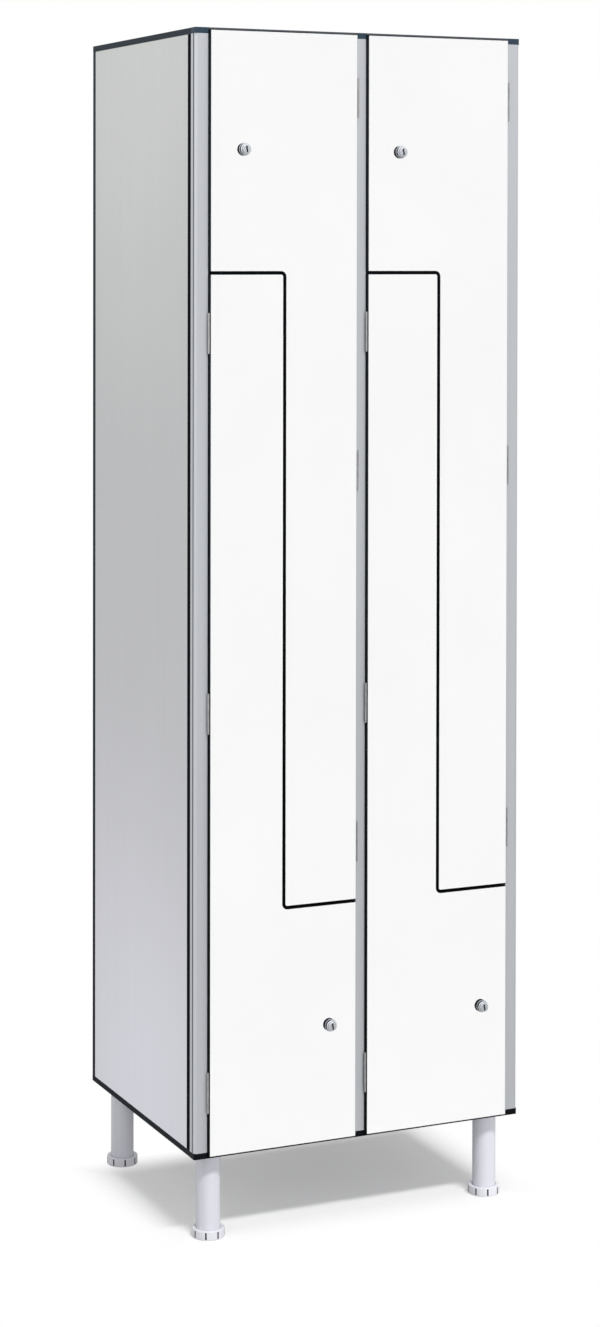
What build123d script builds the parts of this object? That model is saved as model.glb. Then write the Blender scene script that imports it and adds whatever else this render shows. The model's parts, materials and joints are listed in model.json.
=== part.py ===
from build123d import *
import math
import os

os.makedirs("parts", exist_ok=True)

# A free-standing Z locker: two columns, each closed by two L-shaped doors that
# interlock along a Z-shaped gap. Aluminium posts carry the doors on butt hinges,
# compact laminate panels make the carcass, and four adjustable legs carry it.
# X runs to the right as the front is seen, the front faces -Y and +Z is up.
# The origin is on the floor, in the middle of the whole object's box.
# All sizes are in millimetres.

# Overall sizes of the cabinet.
WIDTH = 600
DEPTH = 480
CARCASS_HEIGHT = 1850
LEG_HEIGHT = 142

# Laminate panels.
WALL = 13
DECK = 10
SHELF = 10
DOOR = 13

# Aluminium posts, their end caps and the seal behind each end post.
END_POST = 23.5
CENTRE_POST = 17.5
POST_DEPTH = 18.5
POST_SHELL = 2.5
POST_ROUND = 5.5
POST_EASE = 1
CAP_ROUND = 2.5
GROOVE_FROM_FRONT = 6
GROOVE_WIDTH = 3
GROOVE_DEPTH = 1.2
END_TONGUE = 3
TONGUE_REACH = 40
SEAL_WIDTH = 13
SEAL_RECESS = 0.6
CAP_PLUG = 12
CAP_CLEARANCE = 0.1

# Doors and the gaps round them.
DOOR_PROUD = 6
SIDE_GAP = 1.7
END_GAP = 4
MIDDLE_GAP = 5
GAP_ROUND = 4
DOOR_EDGE = 0.5
BREAK_FROM_END = 400
PANEL_BEHIND_DOOR = 3

# Five-knuckle butt hinges, three to a door.
HINGE_LENGTH = 65
HINGE_FROM_END = 104.5
HINGE_FROM_TIP = 96
LEAF = 0.8
LEAF_REACH = 22
BARREL = 1.9
BARREL_OUTSIDE = 0.5
BARREL_BEHIND_FACE = 2.4
KNUCKLE_GAP = 0.2
KNUCKLE_CLEARANCE = 0.3
PIN = 1
PIN_CLEARANCE = 0.05
PIN_HEAD = 1.6
PIN_HEAD_HEIGHT = 0.8
KNUCKLES = 5
HINGE_SCREW_SPACING = 40

# Cam locks. The lengths run along the lock's axis.
UPPER_LOCK_FROM_SIDE = 57
LOWER_LOCK_FROM_SIDE = 50
LOCK_FROM_END = 198
BEZEL = 10.5
BEZEL_HEIGHT = 8
BEZEL_EDGE = 0.5
NOSE = 9.4
NOSE_HEIGHT = 5
NOSE_EDGE = 1.5
LOCK_BODY = 9
LOCK_HOLE_CLEARANCE = 0.2
NUT_ACROSS = 24
NUT_HEIGHT = 4
PLUG = 7.2
PLUG_CLEARANCE = 0.05
PLUG_PROUD = 4
PLUG_EDGE = 0.8
KEYWAY_HEIGHT = 10.5
KEYWAY_WIDTH = 1.8
KEYWAY_JOG = 0.9
KEYWAY_DEPTH = 12
CAM_REACH = 48
CAM_WIDTH = 14
CAM = 2.5
CAM_GAP = 0.5
CAM_SCREW_HEAD = 5
CAM_SCREW_HEAD_HEIGHT = 3
CAM_SCREW_SOCKET = 2.5

# Keepers that the cams turn behind.
KEEPER = 2
KEEPER_HEIGHT = 30
KEEPER_REACH = 18
KEEPER_LEG = 30
KEEPER_FROM_POST = 0.5

# Coat hooks.
HOOK_PLATE_WIDTH = 22
HOOK_PLATE_HEIGHT = 44
HOOK_PLATE = 3
HOOK_ROD = 3.5
HOOK_REACH = 36
HOOK_RISE = 20
HOOK_BEND = 11
HOOK_BALL = 6
HOOK_FROM_TOP = 70

# Legs and adjustable feet.
LEG_FROM_SIDE = 42
LEG_FROM_FACE = 40
LEG_RADIUS = 20
LEG_SHELL = 2.5
FLANGE_RADIUS = 28
FLANGE = 3.5
SPIGOT_HEIGHT = 20
SPIGOT_SHELL = 3
SPIGOT_CLEARANCE = 0.1
FOOT_RADIUS = 27
FOOT_HEIGHT = 15
FOOT_BASE = 4
FOOT_EDGE = 1.2
FOOT_CLEARANCE = 0.6
FOOT_SEAT_GAP = 0.3
FOOT_NOTCHES = 8
NOTCH_WIDTH = 2.6
NOTCH_DEPTH = 2.5
NOTCH_FLOOR = 1.8
SPINDLE = 6
SPINDLE_CLEARANCE = 0.05
SPINDLE_LENGTH = 62
SOCKET_HEIGHT = 26

# Countersunk screws: head radius, shank radius and whole length of each kind.
HINGE_SCREW_HEAD = 2.8
HINGE_SCREW_SHANK = 1.6
HINGE_SCREW_LENGTH = 9
PANEL_SCREW_HEAD = 4.2
PANEL_SCREW_SHANK = 2.4
PANEL_SCREW_LENGTH = 34
SMALL_SCREW_HEAD = 3.2
SMALL_SCREW_SHANK = 1.8
SMALL_SCREW_LENGTH = 10
SCREW_CLEARANCE = 0.05

# How far a cut runs past the surface that it opens.
OVERRUN = 2

# How each foot happens to be turned, in degrees, by the leg that it stands under.
FOOT_TURNS = {"front_left": 14, "back_left": 35, "front_right": 32, "back_right": 22}

# Spots along a panel's edge, as shares of its length, where screws stand.
BACK_SCREW_SHARES = (0.04, 0.22, 0.41, 0.59, 0.78, 0.96)
DECK_SCREW_SHARES = (0.15, 0.5, 0.85)

# Other shares: a leg screw's head in its rim, its length in what it holds, and
# how far along the door leaf its screws stand.
LEG_SCREW_HEAD_SHARE = 0.85
LEG_SCREW_LENGTH_SHARE = 0.85
DOOR_SCREW_SHARE = 0.6

# Places that follow from the sizes above.
LEFT = -WIDTH / 2
RIGHT = WIDTH / 2
LOCK_STANDOUT = BEZEL_HEIGHT + NOSE_HEIGHT + PLUG_PROUD
FACE = -(DEPTH - DOOR_PROUD - LOCK_STANDOUT) / 2
REAR = FACE + DEPTH
POST_BACK = FACE + POST_DEPTH
DOOR_FRONT = FACE - DOOR_PROUD
DOOR_BACK = DOOR_FRONT + DOOR
PANEL_FRONT = DOOR_BACK + PANEL_BEHIND_DOOR
WALL_FRONT = POST_BACK + SEAL_WIDTH
BACK_FACE = REAR - WALL
BASE = LEG_HEIGHT
TOP = BASE + CARCASS_HEIGHT
FLOOR_OF_BAY = BASE + DECK
ROOF_OF_BAY = TOP - DECK
MIDDLE = (BASE + TOP) / 2
LOW_BREAK = BASE + BREAK_FROM_END
HIGH_BREAK = TOP - BREAK_FROM_END
DOOR_WIDTH = (WIDTH - 2 * END_POST - CENTRE_POST) / 2 - 2 * SIDE_GAP
BAY_WIDTH = DOOR_WIDTH + 2 * SIDE_GAP
COLUMN_X = {"left": -(CENTRE_POST + BAY_WIDTH) / 2, "right": (CENTRE_POST + BAY_WIDTH) / 2}
CENTRE_TONGUE = (CENTRE_POST - WALL) / 2

# Places in a column's own frame, centred on its door opening at mid height.
# A lower door is drawn there with its hinges on the left, and an upper door is
# the same door turned half round about the Y axis. Only the lock's distance
# from the door's side differs, so its place is kept by whether the door is upper.
DOOR_SIDE = DOOR_WIDTH / 2
POST_SIDE = BAY_WIDTH / 2
LOW_END = -CARCASS_HEIGHT / 2 + END_GAP
BEND = -CARCASS_HEIGHT / 2 + BREAK_FROM_END - MIDDLE_GAP / 2
TIP = CARCASS_HEIGHT / 2 - BREAK_FROM_END - MIDDLE_GAP / 2
AXIS_X = -POST_SIDE - BARREL_OUTSIDE
AXIS_Y = DOOR_FRONT + BARREL_BEHIND_FACE
LOW_HINGE = LOW_END + HINGE_FROM_END
HIGH_HINGE = TIP - HINGE_FROM_TIP
HINGE_HEIGHTS = (LOW_HINGE, (LOW_HINGE + HIGH_HINGE) / 2, HIGH_HINGE)
KNUCKLE = (HINGE_LENGTH - (KNUCKLES - 1) * KNUCKLE_GAP) / KNUCKLES
LEAF_FRONT = AXIS_Y + BARREL + KNUCKLE_CLEARANCE
DOOR_LEAF_BACK = DOOR_BACK + LEAF
LOCK_X = {True: DOOR_SIDE - UPPER_LOCK_FROM_SIDE, False: DOOR_SIDE - LOWER_LOCK_FROM_SIDE}
LOCK_Z = -CARCASS_HEIGHT / 2 + LOCK_FROM_END
KEEPER_FRONT = POST_BACK + KEEPER_FROM_POST
CAM_FRONT = KEEPER_FRONT + KEEPER + CAM_GAP
BODY_BACK = CAM_FRONT - CAM_GAP
NOSE_FRONT = DOOR_FRONT - BEZEL_HEIGHT - NOSE_HEIGHT
PLUG_FRONT = DOOR_FRONT - LOCK_STANDOUT

TO_BACK = (0, 1, 0)
TO_FRONT = (0, -1, 0)
UP = (0, 0, 1)
DOWN = (0, 0, -1)
TO_LEFT = (-1, 0, 0)
TO_RIGHT = (1, 0, 0)


def block(x_span, y_span, z_span):
    """A box between two places on each axis."""
    sizes = [abs(span[1] - span[0]) for span in (x_span, y_span, z_span)]
    middles = [(span[0] + span[1]) / 2 for span in (x_span, y_span, z_span)]
    return Pos(*middles) * Box(*sizes)


def rod(start, direction, radius, length):
    """A cylinder that starts at a point and runs in a direction."""
    place = Plane(origin=start, z_dir=direction)
    return place * Cylinder(radius, length, align=(Align.CENTER, Align.CENTER, Align.MIN))


def screw(start, direction, head, shank, length):
    """A countersunk screw whose flat head starts at a surface."""
    place = Plane(origin=start, z_dir=direction)
    sunk = head - shank
    align = (Align.CENTER, Align.CENTER, Align.MIN)
    shape = place * Cone(head, shank, sunk, align=align)
    shape += rod(start, direction, shank, length)
    socket = extrude(place * RegularPolygon(head / 2, 6), sunk / 2)
    return shape - socket


def screw_hole(start, direction, head, shank, length):
    """The hole for that screw, open a little past the surface."""
    sunk = head - shank
    place = Plane(origin=start, z_dir=direction)
    align = (Align.CENTER, Align.CENTER, Align.MIN)
    wide = head + SCREW_CLEARANCE
    narrow = shank + SCREW_CLEARANCE
    mouth = Vector(*start) - Vector(*direction) * OVERRUN
    shape = place * Cone(wide, narrow, sunk, align=align)
    shape += rod(mouth, direction, wide, OVERRUN)
    shape += rod(start, direction, narrow, length + OVERRUN)
    return shape


def hinge_screw_spots():
    """Start and direction of each hinge screw of a lower door: post side, door side."""
    post_y = (DOOR_LEAF_BACK + POST_BACK) / 2
    door_x = -DOOR_SIDE + LEAF_REACH * DOOR_SCREW_SHARE
    post_spots = []
    door_spots = []
    for centre in HINGE_HEIGHTS:
        for side in (-1, 1):
            z = centre + side * HINGE_SCREW_SPACING / 2
            post_spots.append(((-POST_SIDE + LEAF, post_y, z), TO_LEFT))
            door_spots.append(((door_x, DOOR_LEAF_BACK, z), TO_FRONT))
    return post_spots, door_spots


HINGE_SCREW = (HINGE_SCREW_HEAD, HINGE_SCREW_SHANK, HINGE_SCREW_LENGTH)
PANEL_SCREW = (PANEL_SCREW_HEAD, PANEL_SCREW_SHANK, PANEL_SCREW_LENGTH)
SMALL_SCREW = (SMALL_SCREW_HEAD, SMALL_SCREW_SHANK, SMALL_SCREW_LENGTH)


def in_column(shape, column, upper):
    """A shape of a lower door's frame, placed in its column, turned for an upper door."""
    turn = 180 if upper else 0
    return Pos(COLUMN_X[column], 0, MIDDLE) * Rot(0, turn, 0) * shape


def save(name, *shapes):
    """Writes one sub-part as a STEP file named after it."""
    solids = [solid for shape in shapes for solid in shape.solids()]
    whole = solids[0] if len(solids) == 1 else Compound(solids)
    whole.label = name
    export_step(whole, "parts/" + name + ".step")


def cut_all(shape, holes):
    """A shape less a list of holes."""
    return shape - holes if holes else shape


def door_panel(upper):
    """An L-shaped door, its tall arm on the hinge side, bored for its lock."""
    inner = -MIDDLE_GAP / 2
    points = [(-DOOR_SIDE, LOW_END), (DOOR_SIDE, LOW_END), (DOOR_SIDE, BEND)]
    points += [(inner, BEND), (inner, TIP), (-DOOR_SIDE, TIP)]
    outline = make_face(Polyline(*points, close=True))
    crook = outline.vertices().sort_by_distance((inner, BEND))[0]
    outline = fillet(crook, GAP_ROUND + MIDDLE_GAP)
    corner = outline.vertices().sort_by_distance((inner, TIP))[0]
    outline = fillet(corner, GAP_ROUND)
    plane = Plane(origin=(0, DOOR_BACK, 0), x_dir=TO_RIGHT, z_dir=TO_FRONT)
    panel = extrude(plane * outline, DOOR)
    front = panel.faces().sort_by(Axis.Y)[0]
    panel = chamfer(front.edges(), DOOR_EDGE)
    hole_start = (LOCK_X[upper], DOOR_FRONT - OVERRUN, LOCK_Z)
    holes = [rod(hole_start, TO_BACK, LOCK_BODY + LOCK_HOLE_CLEARANCE, DOOR + 2 * OVERRUN)]
    for start, direction in hinge_screw_spots()[1]:
        holes.append(screw_hole(start, direction, *HINGE_SCREW))
    return cut_all(panel, holes)


def knuckle_span(centre, number):
    """Bottom and top of one knuckle of the hinge at a height."""
    low = centre - HINGE_LENGTH / 2 + number * (KNUCKLE + KNUCKLE_GAP)
    return low, low + KNUCKLE


def knuckles(centre, first, plate_x):
    """Every second knuckle from the first one, each with its tab to the leaf."""
    shapes = []
    for number in range(first, KNUCKLES, 2):
        low, high = knuckle_span(centre, number)
        barrel = rod((AXIS_X, AXIS_Y, low), UP, BARREL, high - low)
        tab = block(plate_x, (AXIS_Y, LEAF_FRONT + LEAF), (low, high))
        shapes.append(barrel + tab)
    return shapes


def pin_bore(centre):
    """The bore for a hinge's pin through all its knuckles."""
    low = centre - HINGE_LENGTH / 2 - OVERRUN
    return rod((AXIS_X, AXIS_Y, low), UP, PIN + PIN_CLEARANCE, HINGE_LENGTH + 2 * OVERRUN)


def frame_leaves():
    """The leaves screwed to the post, one for each hinge of a door."""
    holes = [screw_hole(*spot, *HINGE_SCREW) for spot in hinge_screw_spots()[0]]
    plate_x = (-POST_SIDE, -POST_SIDE + LEAF)
    leaves = []
    for centre in HINGE_HEIGHTS:
        span = (centre - HINGE_LENGTH / 2, centre + HINGE_LENGTH / 2)
        leaf = block(plate_x, (LEAF_FRONT, POST_BACK), span)
        for shape in knuckles(centre, 0, plate_x):
            leaf += shape
        leaves.append(leaf - pin_bore(centre) - holes)
    return leaves


def door_leaves():
    """The leaves that wrap the door's edge and are screwed to its back."""
    holes = [screw_hole(*spot, *HINGE_SCREW) for spot in hinge_screw_spots()[1]]
    plate_x = (-DOOR_SIDE - LEAF, -DOOR_SIDE)
    leaves = []
    for centre in HINGE_HEIGHTS:
        span = (centre - HINGE_LENGTH / 2, centre + HINGE_LENGTH / 2)
        leaf = block(plate_x, (LEAF_FRONT, DOOR_LEAF_BACK), span)
        leaf += block((plate_x[0], -DOOR_SIDE + LEAF_REACH), (DOOR_BACK, DOOR_LEAF_BACK), span)
        for shape in knuckles(centre, 1, plate_x):
            leaf += shape
        leaves.append(leaf - pin_bore(centre) - holes)
    return leaves


def hinge_pins():
    """A pin with a low riveted head at each end, one for each hinge of a door."""
    pins = []
    for centre in HINGE_HEIGHTS:
        low = centre - HINGE_LENGTH / 2
        high = centre + HINGE_LENGTH / 2
        pin = rod((AXIS_X, AXIS_Y, low), UP, PIN, HINGE_LENGTH)
        pin += rod((AXIS_X, AXIS_Y, high), UP, PIN_HEAD, PIN_HEAD_HEIGHT)
        pin += rod((AXIS_X, AXIS_Y, low), DOWN, PIN_HEAD, PIN_HEAD_HEIGHT)
        pins.append(pin)
    return pins


def lock_housing(x):
    """The lock's barrel: bezel and nose in front of the door, body through it."""
    bezel = rod((x, DOOR_FRONT, LOCK_Z), TO_FRONT, BEZEL, BEZEL_HEIGHT)
    bezel = fillet(bezel.faces().sort_by(Axis.Y)[0].edges(), BEZEL_EDGE)
    nose = rod((x, DOOR_FRONT - BEZEL_HEIGHT, LOCK_Z), TO_FRONT, NOSE, NOSE_HEIGHT)
    nose = fillet(nose.faces().sort_by(Axis.Y)[0].edges(), NOSE_EDGE)
    body = rod((x, DOOR_FRONT, LOCK_Z), TO_BACK, LOCK_BODY, BODY_BACK - DOOR_FRONT)
    bore_length = BODY_BACK - NOSE_FRONT + 2 * OVERRUN
    bore_start = (x, NOSE_FRONT - OVERRUN, LOCK_Z)
    bore = rod(bore_start, TO_BACK, PLUG + PLUG_CLEARANCE, bore_length)
    return bezel + nose + body - bore


def lock_nut(x):
    """The hexagon nut that clamps the lock against the door's back."""
    plane = Plane(origin=(x, DOOR_BACK, LOCK_Z), x_dir=TO_RIGHT, z_dir=TO_BACK)
    nut = extrude(plane * RegularPolygon(NUT_ACROSS / 2, 6, major_radius=False), NUT_HEIGHT)
    start = (x, DOOR_BACK - OVERRUN, LOCK_Z)
    return nut - rod(start, TO_BACK, LOCK_BODY, NUT_HEIGHT + 2 * OVERRUN)


def lock_cylinder(x):
    """The plug that the key turns, its end proud of the nose, with a stepped keyway."""
    plug = rod((x, PLUG_FRONT, LOCK_Z), TO_BACK, PLUG, CAM_FRONT - PLUG_FRONT)
    plug = fillet(plug.faces().sort_by(Axis.Y)[0].edges(), PLUG_EDGE)
    half = KEYWAY_WIDTH / 2
    along = (PLUG_FRONT - OVERRUN, PLUG_FRONT + KEYWAY_DEPTH)
    low = (LOCK_Z - KEYWAY_HEIGHT / 2, LOCK_Z)
    high = (LOCK_Z, LOCK_Z + KEYWAY_HEIGHT / 2)
    plug -= block((x - half, x + half), along, (low[0], high[1]))
    plug -= block((x - half - KEYWAY_JOG, x), along, high)
    plug -= block((x, x + half + KEYWAY_JOG), along, low)
    socket_start = (x, CAM_FRONT + OVERRUN, LOCK_Z)
    return plug - rod(socket_start, TO_FRONT, CAM_SCREW_SOCKET, PLUG + OVERRUN)


def lock_cam(x):
    """The cam plate, pointing down when unlocked, and the screw that holds it."""
    plane = Plane(origin=(x, CAM_FRONT, LOCK_Z), x_dir=TO_LEFT, z_dir=TO_BACK)
    round_end = Pos(0, -CAM_REACH + CAM_WIDTH / 2) * Circle(CAM_WIDTH / 2)
    stem = Pos(0, -(CAM_REACH - CAM_WIDTH / 2) / 2) * Rectangle(
        CAM_WIDTH, CAM_REACH - CAM_WIDTH / 2)
    profile = Circle(LOCK_BODY) + stem + round_end
    plate = extrude(plane * profile, CAM)
    bore_start = (x, CAM_FRONT - OVERRUN, LOCK_Z)
    plate -= rod(bore_start, TO_BACK, CAM_SCREW_SOCKET, CAM + 2 * OVERRUN)
    head_start = (x, CAM_FRONT + CAM, LOCK_Z)
    head = rod(head_start, TO_BACK, CAM_SCREW_HEAD, CAM_SCREW_HEAD_HEIGHT)
    head += rod(head_start, TO_FRONT, CAM_SCREW_SOCKET, CAM + PLUG)
    socket_plane = Plane(origin=head_start, z_dir=TO_BACK)
    socket_plane = socket_plane.offset(CAM_SCREW_HEAD_HEIGHT / 2)
    socket = extrude(socket_plane * RegularPolygon(CAM_SCREW_HEAD / 2, 6), CAM_SCREW_HEAD_HEIGHT)
    return plate, head - socket


def keeper_seat(column, upper):
    """How far behind the post's inner face the keeper's leg is screwed on."""
    at_end_post = (column == "left") == upper
    return END_POST - WALL - END_TONGUE if at_end_post else 0


def keeper_screw_spots(column, upper):
    """Start and direction of the two screws of a keeper, in the column's frame."""
    face = POST_SIDE + keeper_seat(column, upper) - KEEPER
    y = KEEPER_FRONT + KEEPER + (KEEPER_LEG - KEEPER) / 2
    offset = KEEPER_HEIGHT / 4
    return [((face, y, LOCK_Z + side * offset), TO_RIGHT) for side in (-1, 1)]


def keeper(column, upper):
    """An angle bracket whose front flange the cam turns behind."""
    seat = POST_SIDE + keeper_seat(column, upper)
    z_span = (LOCK_Z - KEEPER_HEIGHT / 2, LOCK_Z + KEEPER_HEIGHT / 2)
    leg = block((seat - KEEPER, seat), (KEEPER_FRONT, KEEPER_FRONT + KEEPER_LEG), z_span)
    flange_y = (KEEPER_FRONT, KEEPER_FRONT + KEEPER)
    flange = block((POST_SIDE - KEEPER_REACH, seat), flange_y, z_span)
    holes = [screw_hole(*spot, *SMALL_SCREW) for spot in keeper_screw_spots(column, upper)]
    return leg + flange - holes


COLUMNS = ("left", "right")
DOOR_PLACES = [(column, upper) for column in COLUMNS for upper in (True, False)]


def door_side_holes(columns_and_doors):
    """Holes in the posts for the hinge screws and keeper screws of some doors."""
    holes = []
    for column, upper in columns_and_doors:
        for spot in hinge_screw_spots()[0]:
            holes.append(in_column(screw_hole(*spot, *HINGE_SCREW), column, upper))
        for spot in keeper_screw_spots(column, upper):
            holes.append(in_column(screw_hole(*spot, *SMALL_SCREW), column, upper))
    return holes


def end_post_profile(corner_round):
    """Outline of the left end post or its cap, the outer front corner rounded."""
    middle = (LEFT + END_POST / 2, (FACE + POST_BACK) / 2)
    outline = Pos(*middle) * Rectangle(END_POST, POST_DEPTH)
    outer = outline.vertices().sort_by_distance((LEFT, FACE))[0]
    outline = fillet(outer, corner_round)
    inner = outline.vertices().sort_by_distance((LEFT + END_POST, FACE))[0]
    return fillet(inner, POST_EASE)


def left_post():
    """Hollow post with a flank groove and a tongue that the side panel lies on."""
    z_span = (FLOOR_OF_BAY, ROOF_OF_BAY)
    length = z_span[1] - z_span[0]
    post = extrude(Pos(0, 0, z_span[0]) * end_post_profile(POST_ROUND), length)
    hollow_x = (LEFT + POST_SHELL, LEFT + END_POST - POST_SHELL)
    hollow_y = (FACE + POST_SHELL, POST_BACK - POST_SHELL)
    past = (z_span[0] - OVERRUN, z_span[1] + OVERRUN)
    post -= block(hollow_x, hollow_y, past)
    groove_y = (FACE + GROOVE_FROM_FRONT, FACE + GROOVE_FROM_FRONT + GROOVE_WIDTH)
    post -= block((LEFT - OVERRUN, LEFT + GROOVE_DEPTH), groove_y, past)
    tongue_x = (LEFT + WALL, LEFT + WALL + END_TONGUE)
    return post + block(tongue_x, (POST_BACK, POST_BACK + TONGUE_REACH), z_span)


def centre_post():
    """Hollow post whose two tongues hold the partition between them."""
    z_span = (FLOOR_OF_BAY, ROOF_OF_BAY)
    half = CENTRE_POST / 2
    post = block((-half, half), (FACE, POST_BACK), z_span)
    front_edges = post.faces().sort_by(Axis.Y)[0].edges().filter_by(Axis.Z)
    post = fillet(front_edges, POST_EASE)
    hollow_y = (FACE + POST_SHELL, POST_BACK - POST_SHELL)
    past = (z_span[0] - OVERRUN, z_span[1] + OVERRUN)
    post -= block((-half + POST_SHELL, half - POST_SHELL), hollow_y, past)
    for side in (-1, 1):
        tongue_x = (side * (half - CENTRE_TONGUE), side * half)
        post += block(tongue_x, (POST_BACK, POST_BACK + TONGUE_REACH), z_span)
    return post


def post_space(z_span):
    """The room that the three posts and their tongues take in the panels beside them."""
    left = block((LEFT - OVERRUN, LEFT + END_POST), (FACE - OVERRUN, POST_BACK), z_span)
    tongue_y = (POST_BACK - OVERRUN, POST_BACK + TONGUE_REACH)
    left += block((LEFT + WALL - OVERRUN, LEFT + WALL + END_TONGUE), tongue_y, z_span)
    half = CENTRE_POST / 2
    centre = block((-half, half), (FACE - OVERRUN, POST_BACK + TONGUE_REACH), z_span)
    return [left, left.mirror(Plane.YZ), centre]


def post_caps(at_top):
    """A moulded cap for each post, with a stub that fits inside it."""
    z = ROOF_OF_BAY if at_top else BASE
    stub_z = (z - CAP_PLUG, z) if at_top else (z + DECK, z + DECK + CAP_PLUG)
    inset = POST_SHELL + CAP_CLEARANCE
    stub_y = (FACE + inset, POST_BACK - inset)
    left = extrude(Pos(0, 0, z) * end_post_profile(CAP_ROUND), DECK)
    left += block((LEFT + inset, LEFT + END_POST - inset), stub_y, stub_z)
    half = CENTRE_POST / 2
    centre = block((-half, half), (FACE, POST_BACK), (z, z + DECK))
    centre = fillet(centre.faces().sort_by(Axis.Y)[0].edges().filter_by(Axis.Z), POST_EASE)
    centre += block((-half + inset, half - inset), stub_y, stub_z)
    return left, centre, left.mirror(Plane.YZ)


def seals():
    """The strip between each end post and its side panel."""
    x_span = (LEFT + SEAL_RECESS, LEFT + WALL)
    strip = block(x_span, (POST_BACK, WALL_FRONT), (FLOOR_OF_BAY, ROOF_OF_BAY))
    return strip, strip.mirror(Plane.YZ)


def panel_screw_spots():
    """Start and direction of each screw through the back, the top and the bottom."""
    spots = []
    depth = BACK_FACE - WALL_FRONT
    for x in (LEFT + WALL / 2, 0, RIGHT - WALL / 2):
        for share in BACK_SCREW_SHARES:
            z = FLOOR_OF_BAY + share * (ROOF_OF_BAY - FLOOR_OF_BAY)
            spots.append(((x, REAR, z), TO_FRONT))
        for share in DECK_SCREW_SHARES:
            y = WALL_FRONT + share * depth
            spots.append(((x, y, TOP), DOWN))
            spots.append(((x, y, BASE), UP))
    return spots


def panel_holes():
    """The holes of the screws that join the panels."""
    return [screw_hole(*spot, *PANEL_SCREW) for spot in panel_screw_spots()]


def leg_places():
    """The axis of each leg, by name."""
    x = RIGHT - LEG_FROM_SIDE
    front = FACE + LEG_FROM_FACE
    back = REAR - LEG_FROM_FACE
    places = {"front_left": (-x, front), "front_right": (x, front)}
    places.update({"back_left": (-x, back), "back_right": (x, back)})
    return places


def leg_screw_spots():
    """Start and direction of the four screws of each leg's flange."""
    middle = (LEG_RADIUS + FLANGE_RADIUS) / 2
    spots = []
    for x, y in leg_places().values():
        for quarter in range(4):
            angle = math.radians(45 + 90 * quarter)
            start = (x + middle * math.cos(angle), y + middle * math.sin(angle), BASE - FLANGE)
            spots.append((start, UP))
    return spots


def leg_screw_size():
    """Head, shank and length of a leg screw, inside the flange's rim and the panel."""
    head = (FLANGE_RADIUS - LEG_RADIUS) / 2 * LEG_SCREW_HEAD_SHARE
    return head, SMALL_SCREW_SHANK, (FLANGE + DECK) * LEG_SCREW_LENGTH_SHARE


def leg_holes():
    """The holes of the leg screws."""
    return [screw_hole(*spot, *leg_screw_size()) for spot in leg_screw_spots()]


def side_panel():
    """The left side panel, between the top and the bottom."""
    return block((LEFT, LEFT + WALL), (WALL_FRONT, BACK_FACE), (FLOOR_OF_BAY, ROOF_OF_BAY))


def partition():
    """The upright panel between the two columns."""
    return block((-WALL / 2, WALL / 2), (POST_BACK, BACK_FACE), (FLOOR_OF_BAY, ROOF_OF_BAY))


def deck(z):
    """A top or bottom panel, notched round the posts' caps."""
    panel = block((LEFT, RIGHT), (PANEL_FRONT, REAR), (z, z + DECK))
    past = (z - OVERRUN, z + DECK + OVERRUN)
    half = CENTRE_POST / 2
    front = (FACE - OVERRUN, POST_BACK)
    panel -= block((LEFT - OVERRUN, LEFT + END_POST), front, past)
    panel -= block((RIGHT - END_POST, RIGHT + OVERRUN), front, past)
    return panel - block((-half, half), front, past)


def back_panel():
    """The back, which covers the rear edges of the sides and the partition."""
    return block((LEFT, RIGHT), (BACK_FACE, REAR), (FLOOR_OF_BAY, ROOF_OF_BAY))


def column_walls(column):
    """Left and right faces of the walls that close a column."""
    inner = WALL / 2
    outer = WIDTH / 2 - WALL
    return (-outer, -inner) if column == "left" else (inner, outer)


def divider(column):
    """The upright part of the Z between a column's two bays."""
    x = COLUMN_X[column]
    z_span = (LOW_BREAK + SHELF / 2, HIGH_BREAK - SHELF / 2)
    return block((x - SHELF / 2, x + SHELF / 2), (PANEL_FRONT, BACK_FACE), z_span)


def half_shelf(column, upper):
    """One flat part of the Z: the upper one on the left, the lower one on the right."""
    low_x, high_x = column_walls(column)
    x = COLUMN_X[column]
    z = HIGH_BREAK if upper else LOW_BREAK
    x_span = (low_x, x + SHELF / 2) if upper else (x - SHELF / 2, high_x)
    z_span = (z - SHELF / 2, z + SHELF / 2)
    shelf = block(x_span, (PANEL_FRONT, BACK_FACE), z_span)
    return shelf - post_space((z_span[0] - OVERRUN, z_span[1] + OVERRUN))


def hook_places():
    """The middle of each hook's plate on the back panel."""
    places = []
    for column in COLUMNS:
        quarter = DOOR_WIDTH / 4
        places.append((COLUMN_X[column] + quarter, ROOF_OF_BAY - HOOK_FROM_TOP))
        places.append((COLUMN_X[column] - quarter, HIGH_BREAK - SHELF / 2 - HOOK_FROM_TOP))
    return places


def hook_screw_spots():
    """Start and direction of the two screws of each hook."""
    spots = []
    for x, z in hook_places():
        for side in (-1, 1):
            height = z + side * HOOK_PLATE_HEIGHT / 3
            spots.append(((x, BACK_FACE - HOOK_PLATE, height), TO_BACK))
    return spots


def coat_hook(x, z):
    """A plate with one upturned prong that ends in a ball."""
    y = BACK_FACE - HOOK_PLATE
    half = HOOK_PLATE_WIDTH / 2
    tall = HOOK_PLATE_HEIGHT / 2
    plate = block((x - half, x + half), (y, BACK_FACE), (z - tall, z + tall))
    plate = fillet(plate.edges().filter_by(Axis.Y), half / 2)
    reach = y - HOOK_REACH
    points = [(x, y + HOOK_PLATE / 2, z), (x, reach, z), (x, reach, z + HOOK_RISE)]
    path = FilletPolyline(*points, radius=HOOK_BEND)
    section = Plane(origin=points[0], z_dir=TO_FRONT) * Circle(HOOK_ROD)
    prong = sweep(section, path=path)
    ball = Pos(x, reach, z + HOOK_RISE) * Sphere(HOOK_BALL)
    holes = [screw_hole(*spot, *SMALL_SCREW) for spot in hook_screw_spots()]
    return plate + prong + ball - holes


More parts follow.
